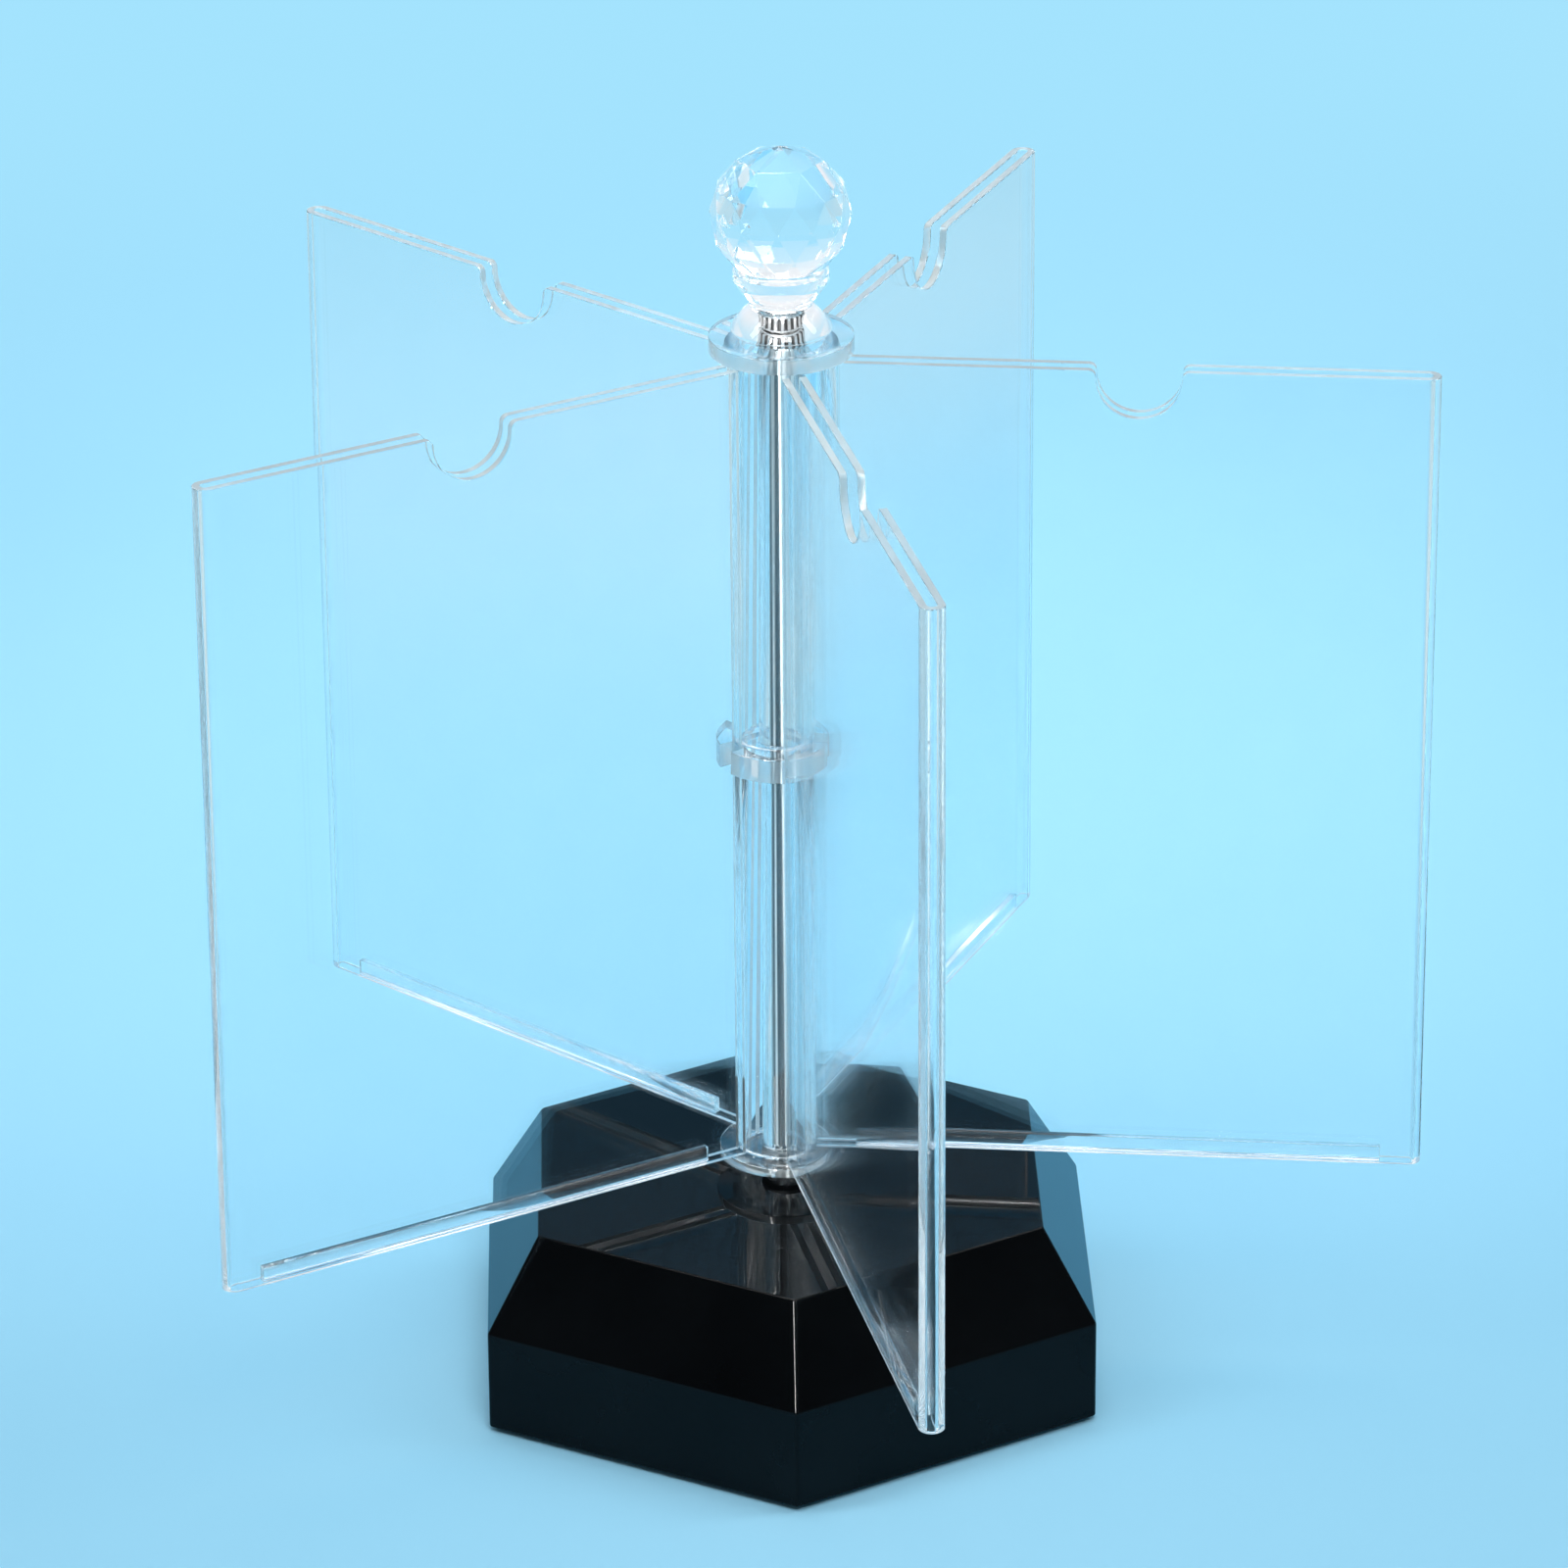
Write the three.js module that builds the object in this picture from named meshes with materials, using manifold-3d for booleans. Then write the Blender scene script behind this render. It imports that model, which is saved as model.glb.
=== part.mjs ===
// Rotating five-pocket acrylic photo display on a black hexagonal base.
// Millimetres, +Z up, origin on the table at the centre of the underside pad.
// The base has one corner towards the front (-Y).

import * as THREE from 'three';
import { ConvexGeometry } from 'three/addons/geometries/ConvexGeometry.js';
import { mergeVertices } from 'three/addons/utils/BufferGeometryUtils.js';
import Module from 'manifold-3d';

const wasm = await Module();
wasm.setup();

// Clearances
const FIT = 0.3; // between pieces that touch or are glued
const RUN = 0.2; // between the spindle and the pieces that turn round it
const OVER = 1; // how far a cutting shape runs past the face it opens

// Photo pockets, sized for 127 x 178 mm prints
const POCKETS = 5;
const POCKET_TURN = 11.1; // first pocket, degrees past the front corner of the base
const SHEET = 1.8;
const POCKET_GAP = 2;
const POCKET_W = POCKET_GAP + 2 * SHEET;
const POCKET_H = 186;
const POCKET_OUT = 140.4; // axis to the outside of the fold
const NOTCH_R = 9.2;
const NOTCH_EDGE_R = 1.6;
const STRIP_LEN = 110.5;
const STRIP_H = 3.6;
const STRIP_IN = 21; // axis to the inner end of a spacer strip

// Column
const DISC_R = 15.6;
const BOTTOM_DISC_T = 2.2;
const MIDDLE_DISC_T = 5.5;
const TOP_DISC_T = 3.5;
const TUBE_R = 12;
const TUBE_WALL = 3;
const LOWER_TUBE_H = 92.7;
const SLEEVE_R = 5.2;
const TUBE_PROUD = 1.5; // how far the column stands above the pockets

// Spindle and its fasteners (M5)
const SHAFT_R = 3;
const CORE_R = 2.3;
const NUT_ACROSS = 8;
const BASE_NUT_T = 4;
const JAM_NUT_T = 3;
const JAM_NUT_TURN = -23; // degrees from a corner towards the front
const BASE_WASHER_R = 7.5;
const BASE_WASHER_T = 1.2;
const THRUST_WASHER_R = 5.6;
const THRUST_WASHER_T = 0.8;
const THREAD_PAST_NUT = 1.5;
const SHOULDER_ABOVE_DISC = 0.6;

// Base
const BASE_R = 77.2; // centre to corner
const BASE_TOP_R = 63.9;
const BASE_TOP_Z = 45;
const BASE_WALL_Z = 24.2; // where the wall meets the bevel
const PAD_T = 1;
const PAD_INSET = 3;
const BASE_POCKET_R = 10;
const BASE_POCKET_DEPTH = 12;

// Finial
const BALL_R = 15.2;
const BALL_RISE = 27.3; // top disc to the middle of the ball
const BALL_TURN = -4; // degrees past the front corner of the base
const COLLAR_R = 10.3;
const COLLAR_RIM = 2.2; // height of the straight rim under the ball
const COLLAR_RISE = 14.9; // top disc to the top of that rim
const WAIST_R = 6.8;
const FOOT_R = 10.9;
const FOOT_H = 6.9;
const INSERT_R = 3.4;
const INSERT_H = 6.2;
const INSERT_NECK_R = 3;
const INSERT_BAND_H = 3;
const INSERT_BAND_RISE = 0.4; // plain foot under the toothed band
const INSERT_TEETH = 18;
const TOOTH_DEPTH = 0.35;

// Heights that follow from the sizes above
const jamNutZ = BASE_TOP_Z + FIT;
const thrustZ = jamNutZ + JAM_NUT_T + FIT;
const bottomDiscZ = thrustZ + THRUST_WASHER_T + FIT;
const columnZ = bottomDiscZ + BOTTOM_DISC_T + FIT;
const pocketTopZ = columnZ + POCKET_H;
const columnTopZ = pocketTopZ + TUBE_PROUD;
const middleDiscZ = columnZ + LOWER_TUBE_H + FIT;
const upperTubeZ = middleDiscZ + MIDDLE_DISC_T + FIT;
const topDiscZ = columnTopZ + FIT;
const topFaceZ = topDiscZ + TOP_DISC_T;
const footZ = topFaceZ + RUN;
const footTopZ = footZ + FOOT_H;
const waistZ = footTopZ + FIT;
const collarTopZ = topFaceZ + COLLAR_RISE;
const ballZ = topFaceZ + BALL_RISE;
const blockZ = PAD_T + FIT;
const baseWasherZ = blockZ + BASE_POCKET_DEPTH - FIT - BASE_WASHER_T;
const baseNutZ = baseWasherZ - FIT - BASE_NUT_T;
const spindleZ = baseNutZ - THREAD_PAST_NUT;
const shoulderZ = columnZ + SHOULDER_ABOVE_DISC;
const insertZ = footZ + FIT;
const insertTopZ = insertZ + INSERT_H;
const spindleTopZ = insertTopZ - FIT;

// Radii that follow
const pocketIn = TUBE_R + FIT;
const boreR = SHAFT_R + RUN;
const tapR = CORE_R + FIT;
const insertHoleR = INSERT_R + FIT;
const sleeveHoleR = SLEEVE_R + FIT;

// Sides of round pieces
const ROUND = 64;
const TURNED_ROUND = 48;
const SMALL_ROUND = 36;

const clear = { color: 0xe6f3f8, roughness: 0.04, metalness: 0, transparent: true, opacity: 0.35 };
const look = {
  black: { color: 0x08090b, roughness: 0.06, metalness: 0 },
  pad: { color: 0x17181a, roughness: 0.95, metalness: 0 },
  steel: { color: 0xc9ccd0, roughness: 0.16, metalness: 1 },
  nylon: { color: 0x0d0e10, roughness: 0.5, metalness: 0 },
  acrylic: clear,
  crystal: { ...clear, color: 0xf4fafc, roughness: 0.02 },
};

const part = new THREE.Group();
part.name = 'rotating_photo_display';

// A three.js shape as a closed body that can be cut and joined.
function body(geometry) {
  const bare = new THREE.BufferGeometry();
  bare.setAttribute('position', geometry.getAttribute('position').clone());
  if (geometry.index) bare.setIndex(geometry.index.clone());
  const welded = mergeVertices(bare, 1e-4);
  const index = welded.index.array;
  const triangles = [];
  for (let i = 0; i < index.length; i += 3) {
    const [a, b, c] = index.slice(i, i + 3);
    if (a !== b && b !== c && c !== a) triangles.push(a, b, c);
  }
  return new wasm.Manifold(new wasm.Mesh({
    numProp: 3,
    vertProperties: new Float32Array(welded.getAttribute('position').array),
    triVerts: new Uint32Array(triangles),
  }));
}

function add(name, solid, material) {
  const out = solid.getMesh();
  const geometry = new THREE.BufferGeometry();
  geometry.setAttribute('position', new THREE.BufferAttribute(out.vertProperties, 3));
  geometry.setIndex(new THREE.BufferAttribute(out.triVerts, 1));
  geometry.computeVertexNormals();
  const mesh = new THREE.Mesh(geometry, new THREE.MeshStandardMaterial(material));
  mesh.name = name;
  part.add(mesh);
}

// Solid of revolution about Z from [radius, height] points, closed back to the first.
function turned(points, sides = ROUND) {
  const outline = [...points, points[0]].map(([r, z]) => new THREE.Vector2(r, z));
  return body(new THREE.LatheGeometry(outline, sides).rotateX(Math.PI / 2));
}

function cylinder(radius, z, height, sides = ROUND) {
  const geometry = new THREE.CylinderGeometry(radius, radius, height, sides);
  return body(geometry.rotateX(Math.PI / 2).translate(0, 0, z + height / 2));
}

function ring(outer, inner, z, height, sides = ROUND) {
  return turned([[inner, z], [outer, z], [outer, z + height], [inner, z + height]], sides);
}

function box(from, to) {
  const size = to.map((v, i) => v - from[i]);
  const geometry = new THREE.BoxGeometry(...size);
  return body(geometry.translate(...from.map((v, i) => v + size[i] / 2)));
}

// Hexagonal solid with a corner towards -Y, from [corner radius, height] points.
function hexagonal(points) {
  return turned(points, 6);
}

function nut(z, height) {
  const across = NUT_ACROSS / Math.sqrt(3);
  return hexagonal([[0, z], [across, z], [across, z + height], [0, z + height]])
    .subtract(cylinder(tapR, z - OVER, height + 2 * OVER, SMALL_ROUND));
}

// Angle of pocket number i about Z, in degrees.
function pocketAngle(i) {
  return -90 + POCKET_TURN + (i * 360) / POCKETS;
}

// One folded sheet lying along +X: two leaves, a round fold outside, a thumb notch on top.
function pocket() {
  const foldX = POCKET_OUT - POCKET_W / 2;
  const plan = new THREE.Shape();
  plan.moveTo(pocketIn, -POCKET_W / 2);
  plan.lineTo(foldX, -POCKET_W / 2);
  plan.absarc(foldX, 0, POCKET_W / 2, -Math.PI / 2, Math.PI / 2, false);
  plan.lineTo(pocketIn, POCKET_W / 2);
  plan.lineTo(pocketIn, POCKET_GAP / 2);
  plan.lineTo(foldX, POCKET_GAP / 2);
  plan.absarc(foldX, 0, POCKET_GAP / 2, Math.PI / 2, -Math.PI / 2, true);
  plan.lineTo(pocketIn, -POCKET_GAP / 2);
  plan.closePath();
  const sheet = new THREE.ExtrudeGeometry(plan, { depth: POCKET_H, bevelEnabled: false, curveSegments: 12 });
  sheet.translate(0, 0, columnZ);
  return body(sheet).subtract(thumbNotch());
}

function thumbNotch() {
  const half = NOTCH_R + NOTCH_EDGE_R;
  const outline = new THREE.Shape();
  outline.moveTo(half, OVER);
  outline.lineTo(half, 0);
  outline.absarc(half, -NOTCH_EDGE_R, NOTCH_EDGE_R, Math.PI / 2, Math.PI, false);
  outline.absarc(0, -NOTCH_EDGE_R, NOTCH_R, 0, -Math.PI, true);
  outline.absarc(-half, -NOTCH_EDGE_R, NOTCH_EDGE_R, 0, Math.PI / 2, false);
  outline.lineTo(-half, OVER);
  outline.closePath();
  const depth = POCKET_W + 2 * OVER;
  const cutter = new THREE.ExtrudeGeometry(outline, { depth, bevelEnabled: false, curveSegments: 10 });
  cutter.rotateX(Math.PI / 2).translate((pocketIn + POCKET_OUT) / 2, depth / 2, pocketTopZ);
  return body(cutter);
}

function spacerStrip() {
  const half = POCKET_GAP / 2 - FIT / 2;
  return box([STRIP_IN, -half, columnZ], [STRIP_IN + STRIP_LEN, half, columnZ + STRIP_H]);
}

// Round disc with a bore and, if asked for, a slot for the inner end of every pocket.
function disc(z, thickness, hole, slotted) {
  let solid = ring(DISC_R, hole, z, thickness);
  if (!slotted) return solid;
  const half = POCKET_W / 2 + FIT;
  for (let i = 0; i < POCKETS; i += 1) {
    const slot = box([pocketIn - FIT, -half, z - OVER], [DISC_R + OVER, half, z + thickness + OVER]);
    solid = solid.subtract(slot.rotate([0, 0, pocketAngle(i)]));
  }
  return solid;
}

// Ball of flat facets in staggered rows, as cut crystal: a shallow point on top,
// then bands of triangles down to the collar.
function facetedBall() {
  const rows = [
    { latitude: 90, corners: 1, stagger: 0 },
    { latitude: 52, corners: 6, stagger: 0.5 },
    { latitude: 24, corners: 12, stagger: 0.5 },
    { latitude: 1, corners: 12, stagger: 0 },
    { latitude: -24, corners: 12, stagger: 0.5 },
    { latitude: -47, corners: 12, stagger: 0 },
  ];
  const points = [];
  for (const { latitude, corners, stagger } of rows) {
    const up = THREE.MathUtils.degToRad(latitude);
    for (let i = 0; i < corners; i += 1) {
      const turn = THREE.MathUtils.degToRad(-90 + BALL_TURN + ((i + stagger) * 360) / corners);
      const r = BALL_R * Math.cos(up);
      points.push(new THREE.Vector3(r * Math.cos(turn), r * Math.sin(turn), ballZ + BALL_R * Math.sin(up)));
    }
  }
  return body(new ConvexGeometry(points));
}

// Toothed band of the threaded insert.
function toothedBand(z, height) {
  const outline = new THREE.Shape();
  for (let i = 0; i < 2 * INSERT_TEETH; i += 1) {
    const r = INSERT_R - (i % 2) * TOOTH_DEPTH;
    for (const edge of [-0.3, 0.3]) {
      const turn = ((i + edge) * Math.PI) / INSERT_TEETH;
      const point = [r * Math.cos(turn), r * Math.sin(turn)];
      if (i === 0 && edge < 0) outline.moveTo(...point);
      else outline.lineTo(...point);
    }
  }
  outline.closePath();
  const band = new THREE.ExtrudeGeometry(outline, { depth: height, bevelEnabled: false });
  return body(band.translate(0, 0, z));
}

// Base
const padR = BASE_R - PAD_INSET;
add('base_pad', hexagonal([[0, 0], [padR, 0], [padR, PAD_T], [0, PAD_T]]), look.pad);

const block = hexagonal([[0, blockZ], [BASE_R, blockZ], [BASE_R, BASE_WALL_Z], [BASE_TOP_R, BASE_TOP_Z], [0, BASE_TOP_Z]]);
const rodHole = cylinder(tapR, 0, BASE_TOP_Z + OVER, SMALL_ROUND);
const nutPocket = cylinder(BASE_POCKET_R, 0, blockZ + BASE_POCKET_DEPTH, SMALL_ROUND);
add('base_block', block.subtract(rodHole).subtract(nutPocket), look.black);

// Spindle and fasteners
add('base_washer', ring(BASE_WASHER_R, tapR, baseWasherZ, BASE_WASHER_T, SMALL_ROUND), look.steel);
add('base_nut', nut(baseNutZ, BASE_NUT_T), look.steel);
add('spindle', turned([
  [0, spindleZ], [CORE_R, spindleZ], [CORE_R, shoulderZ], [SHAFT_R, shoulderZ + SHAFT_R - CORE_R],
  [SHAFT_R, footZ], [CORE_R, footZ], [CORE_R, spindleTopZ], [0, spindleTopZ],
], SMALL_ROUND), look.steel);
add('jam_nut', nut(jamNutZ, JAM_NUT_T).rotate([0, 0, JAM_NUT_TURN]), look.steel);
add('thrust_washer', ring(THRUST_WASHER_R, tapR, thrustZ, THRUST_WASHER_T, SMALL_ROUND), look.nylon);

// Column that turns on the spindle
const tubeIn = TUBE_R - TUBE_WALL;
add('bottom_disc', disc(bottomDiscZ, BOTTOM_DISC_T, boreR, false), look.acrylic);
add('lower_tube', ring(TUBE_R, tubeIn, columnZ, LOWER_TUBE_H), look.acrylic);
add('middle_disc', disc(middleDiscZ, MIDDLE_DISC_T, sleeveHoleR, true), look.acrylic);
add('upper_tube', ring(TUBE_R, tubeIn, upperTubeZ, columnTopZ - upperTubeZ), look.acrylic);
add('sleeve', ring(SLEEVE_R, boreR, columnZ, topFaceZ - columnZ, SMALL_ROUND), look.acrylic);
add('top_disc', disc(topDiscZ, TOP_DISC_T, sleeveHoleR, false), look.acrylic);

// Pockets with their spacer strips
for (let i = 0; i < POCKETS; i += 1) {
  const turn = [0, 0, pocketAngle(i)];
  add(`pocket_${i + 1}`, pocket().rotate(turn), look.acrylic);
  add(`spacer_strip_${i + 1}`, spacerStrip().rotate(turn), look.acrylic);
}

// Finial
const foot = turned([
  [insertHoleR, footZ], [FOOT_R - 1.3, footZ], [FOOT_R, footZ + 0.17 * FOOT_H],
  [FOOT_R - 0.5, footZ + 0.36 * FOOT_H], [WAIST_R + 2, footZ + 0.65 * FOOT_H],
  [WAIST_R + 0.6, footZ + 0.86 * FOOT_H], [WAIST_R, footTopZ], [insertHoleR, footTopZ],
], TURNED_ROUND);
add('finial_foot', foot, look.crystal);

const insertBore = cylinder(tapR, insertZ - OVER, INSERT_H + 2 * OVER, SMALL_ROUND);
const insert = cylinder(INSERT_NECK_R, insertZ, INSERT_H, SMALL_ROUND)
  .add(toothedBand(insertZ + INSERT_BAND_RISE, INSERT_BAND_H))
  .subtract(insertBore);
add('finial_insert', insert, look.steel);

const collarZ = collarTopZ - COLLAR_RIM;
const flare = (collarZ - waistZ) / 5;
const neck = turned([
  [0, waistZ], [WAIST_R, waistZ], [WAIST_R + 0.2, waistZ + 0.6 * flare],
  [WAIST_R + 2, waistZ + 2.8 * flare], [COLLAR_R - 0.4, collarZ - 0.6 * flare],
  [COLLAR_R, collarZ], [COLLAR_R, collarTopZ], [0, ballZ],
], TURNED_ROUND);
add('finial_ball', facetedBall().add(neck), look.crystal);

export default part;
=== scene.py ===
"""Looks of the rotating photo display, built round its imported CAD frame. Metres, Z up."""

import math

import bmesh
import bpy
from mathutils import Matrix, Vector
from mathutils.geometry import tessellate_polygon


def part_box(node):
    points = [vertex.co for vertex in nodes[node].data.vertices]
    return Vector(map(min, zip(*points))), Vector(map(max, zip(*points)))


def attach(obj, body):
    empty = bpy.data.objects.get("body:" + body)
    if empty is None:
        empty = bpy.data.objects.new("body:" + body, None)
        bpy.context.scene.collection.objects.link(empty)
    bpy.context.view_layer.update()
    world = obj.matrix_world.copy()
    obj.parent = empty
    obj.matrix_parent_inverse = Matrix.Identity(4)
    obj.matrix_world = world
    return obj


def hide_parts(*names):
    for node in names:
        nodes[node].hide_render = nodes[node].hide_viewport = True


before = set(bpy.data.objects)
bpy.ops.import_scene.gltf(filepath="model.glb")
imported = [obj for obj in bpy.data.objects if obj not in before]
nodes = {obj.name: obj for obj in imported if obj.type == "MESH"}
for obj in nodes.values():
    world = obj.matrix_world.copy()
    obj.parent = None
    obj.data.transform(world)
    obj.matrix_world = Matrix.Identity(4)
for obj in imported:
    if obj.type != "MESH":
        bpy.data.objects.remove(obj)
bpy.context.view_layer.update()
scene = bpy.context.scene

MM = 0.001
ROUND = 192
TUBE_BORE = 9.0 * MM
SLEEVE_BORE = 3.2 * MM
SLEEVE_HOLE = 5.5 * MM
SHAFT_R = 3.0 * MM
TAP_R = 2.6 * MM
WAIST_R = 6.8 * MM
POCKETS = 5
FIRST_POCKET = -78.9
POCKET_ANGLES = [FIRST_POCKET + 360 / POCKETS * i for i in range(POCKETS)]


def span(node):
    low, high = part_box(node)
    return low.z, high.z


def reach(node):
    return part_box(node)[1].x


def polar(radius, degrees, z=0.0):
    angle = math.radians(degrees)
    return Vector((radius * math.cos(angle), radius * math.sin(angle), z))


# Shader nodes

NOISE_ROUGHNESS = 0.55


def new_material(name):
    material = bpy.data.materials.new(name)
    material.use_nodes = True
    tree = material.node_tree
    return material, tree, tree.nodes["Principled BSDF"]


def pattern(tree, scale, detail, stretch=(1, 1, 1)):
    """Noise in the piece's own coordinates, in metres."""
    coordinates = tree.nodes.new("ShaderNodeTexCoord")
    mapping = tree.nodes.new("ShaderNodeMapping")
    mapping.inputs["Scale"].default_value = stretch
    noise = tree.nodes.new("ShaderNodeTexNoise")
    noise.inputs["Scale"].default_value = scale
    noise.inputs["Detail"].default_value = detail
    noise.inputs["Roughness"].default_value = NOISE_ROUGHNESS
    tree.links.new(coordinates.outputs["Object"], mapping.inputs["Vector"])
    tree.links.new(mapping.outputs["Vector"], noise.inputs["Vector"])
    return noise.outputs["Fac"]


def ranged(tree, value, low, high, start=0.3, end=0.7, curve="LINEAR"):
    """The value's stretch from start to end, spread over low to high."""
    node = tree.nodes.new("ShaderNodeMapRange")
    node.interpolation_type = curve
    node.inputs["From Min"].default_value = start
    node.inputs["From Max"].default_value = end
    node.inputs["To Min"].default_value = low
    node.inputs["To Max"].default_value = high
    tree.links.new(value, node.inputs["Value"])
    return node.outputs["Result"]


def ramp(tree, value, stops):
    node = tree.nodes.new("ShaderNodeValToRGB")
    elements = node.color_ramp.elements
    while len(elements) < len(stops):
        elements.new(0.5)
    for element, (position, colour) in zip(elements, stops):
        element.position = position
        element.color = (*colour, 1)
    tree.links.new(value, node.inputs["Fac"])
    return node.outputs["Color"]


def bump(tree, shader, height, strength, distance):
    node = tree.nodes.new("ShaderNodeBump")
    node.inputs["Strength"].default_value = strength
    node.inputs["Distance"].default_value = distance
    tree.links.new(height, node.inputs["Height"])
    tree.links.new(node.outputs["Normal"], shader.inputs["Normal"])


def combine(tree, operation, first, second=None):
    node = tree.nodes.new("ShaderNodeMath")
    node.operation = operation
    tree.links.new(first, node.inputs[0])
    if second:
        tree.links.new(second, node.inputs[1])
    return node.outputs[0]


def blend_colours(tree, factor, first, second):
    node = tree.nodes.new("ShaderNodeMix")
    node.data_type = "RGBA"
    tree.links.new(factor, node.inputs["Factor"])
    tree.links.new(first, node.inputs["A"])
    tree.links.new(second, node.inputs["B"])
    return node.outputs["Result"]


def blend_shaders(tree, factor, first, second, output):
    """Puts the blend of two shaders on the tree's output node."""
    node = tree.nodes.new("ShaderNodeMixShader")
    tree.links.new(factor, node.inputs[0])
    tree.links.new(first.outputs[0], node.inputs[1])
    tree.links.new(second.outputs[0], node.inputs[2])
    tree.links.new(node.outputs[0], tree.nodes[output].inputs["Surface"])


# Materials: pairs of colours and of roughness are the two ends of the surface's pattern

ACRYLIC_IOR = 1.49
CRYSTAL_IOR = 1.52
STEEL_STREAK_SCALE = 700.0
BUMP_FINENESS = 8


def clear_material(
    name, tints, roughness, shade, ior=ACRYLIC_IOR, grain=90.0, stretch=(1, 1, 1), clarity=1.0
):
    """Clear plastic or glass. Lamp and diffuse rays pass it, so that it casts only a faint shadow."""
    material, tree, shader = new_material(name)
    shader.inputs["Transmission Weight"].default_value = clarity
    shader.inputs["IOR"].default_value = ior
    marks = pattern(tree, grain, 5.0, stretch)
    tree.links.new(ramp(tree, marks, [(0.3, tints[0]), (0.7, tints[1])]), shader.inputs["Base Color"])
    tree.links.new(ranged(tree, marks, *roughness, start=0.45, end=0.8), shader.inputs["Roughness"])
    path = tree.nodes.new("ShaderNodeLightPath")
    carries_light = combine(tree, "MAXIMUM", path.outputs["Is Shadow Ray"], path.outputs["Is Diffuse Ray"])
    through = tree.nodes.new("ShaderNodeBsdfTransparent")
    through.inputs["Color"].default_value = (*shade, 1)
    blend_shaders(tree, carries_light, shader, through, "Material Output")
    return material


def steel_material(name, colours, roughness, stretch, ground=0.0):
    """Steel with fine streaks between two colours along a stretched noise; where the colours lie far apart,
    the streaks are painted reflection bands as well as drawing lines. Ground is how far its shine is drawn
    out along Z.
    """
    material, tree, shader = new_material(name)
    shader.inputs["Metallic"].default_value = 1.0
    if ground:
        shader.inputs["Anisotropic"].default_value = ground
        shader.inputs["Anisotropic Rotation"].default_value = 0.25
        tangent = tree.nodes.new("ShaderNodeTangent")
        tangent.direction_type = "RADIAL"
        tangent.axis = "Z"
        tree.links.new(tangent.outputs[0], shader.inputs["Tangent"])
    lines_and_painted_bands = pattern(tree, STEEL_STREAK_SCALE, 2.0, stretch)
    tree.links.new(ramp(tree, lines_and_painted_bands, [(0.42, colours[0]), (0.56, colours[1])]), shader.inputs["Base Color"])
    tree.links.new(ranged(tree, lines_and_painted_bands, *roughness), shader.inputs["Roughness"])
    return material


def solid_material(name, colours, roughness, grain, height, strength, shine=0.5):
    """Opaque plastic with clouds of colour and a fine bump."""
    material, tree, shader = new_material(name)
    shader.inputs["IOR"].default_value = ACRYLIC_IOR
    shader.inputs["Specular IOR Level"].default_value = shine
    cloud = pattern(tree, grain, 6.0)
    tree.links.new(ramp(tree, cloud, [(0.3, colours[0]), (0.7, colours[1])]), shader.inputs["Base Color"])
    tree.links.new(ranged(tree, cloud, *roughness), shader.inputs["Roughness"])
    bump(tree, shader, pattern(tree, BUMP_FINENESS * grain, 3.0), strength, height)
    return material


sheet_clear = clear_material(
    "sheet_clear", tints=((0.985, 0.993, 0.996), (0.995, 0.998, 0.999)),
    roughness=(0.0, 0.002), shade=(0.95, 0.97, 0.98),
)
cut_edge = clear_material(
    "cut_edge", tints=((0.95, 0.96, 0.95), (0.99, 0.99, 0.98)),
    roughness=(0.03, 0.07), shade=(0.90, 0.94, 0.96), grain=160.0, clarity=0.58,
)
turned_clear = clear_material(
    "turned_clear", tints=((0.985, 0.992, 0.995), (0.995, 0.998, 0.999)),
    roughness=(0.0, 0.004), shade=(0.93, 0.96, 0.97),
)
tube_clear = clear_material(
    "tube_clear", tints=((0.90, 0.955, 0.975), (0.94, 0.975, 0.985)),
    roughness=(0.0, 0.004), shade=(0.93, 0.96, 0.97),
)
sawn_rim = clear_material(
    "sawn_rim", tints=((0.93, 0.95, 0.95), (0.99, 0.99, 0.99)),
    roughness=(0.06, 0.24), shade=(0.92, 0.95, 0.96), grain=420.0, stretch=(1, 1, 0.35), clarity=0.7,
)
crystal = clear_material(
    "crystal", tints=((0.985, 0.990, 0.993), (0.998, 0.999, 1.0)),
    roughness=(0.0, 0.004), shade=(0.92, 0.95, 0.96), ior=CRYSTAL_IOR,
)
# The rod's streaks run round it from near black to near white: drawing lines, and painted reflection in their
# dark and bright bands.
steel = steel_material(
    "steel", colours=((0.02, 0.02, 0.02), (0.95, 0.92, 0.89)),
    roughness=(0.36, 0.44), stretch=(1, 1, 0.002), ground=1.0,
)
thread_steel = steel_material(
    "thread_steel", colours=((0.52, 0.52, 0.52), (0.70, 0.70, 0.70)),
    roughness=(0.16, 0.3), stretch=(0.05, 0.05, 1),
)
# Near-black steel for the insert's tooth valleys: painted shade.
groove_painted_shade = steel_material(
    "groove_painted_shade", colours=((0.03, 0.03, 0.03), (0.10, 0.10, 0.10)),
    roughness=(0.4, 0.6), stretch=(1, 1, 0.05),
)
black_gloss = solid_material(
    "black_gloss", colours=((0.0022, 0.0024, 0.0028), (0.0045, 0.0048, 0.0054)),
    roughness=(0.01, 0.04), grain=26.0, height=0.004 * MM, strength=0.4, shine=0.11,
)
black_plastic = solid_material(
    "black_plastic", colours=((0.010, 0.010, 0.011), (0.020, 0.020, 0.022)),
    roughness=(0.38, 0.55), grain=300.0, height=0.02 * MM, strength=0.5,
)
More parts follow.
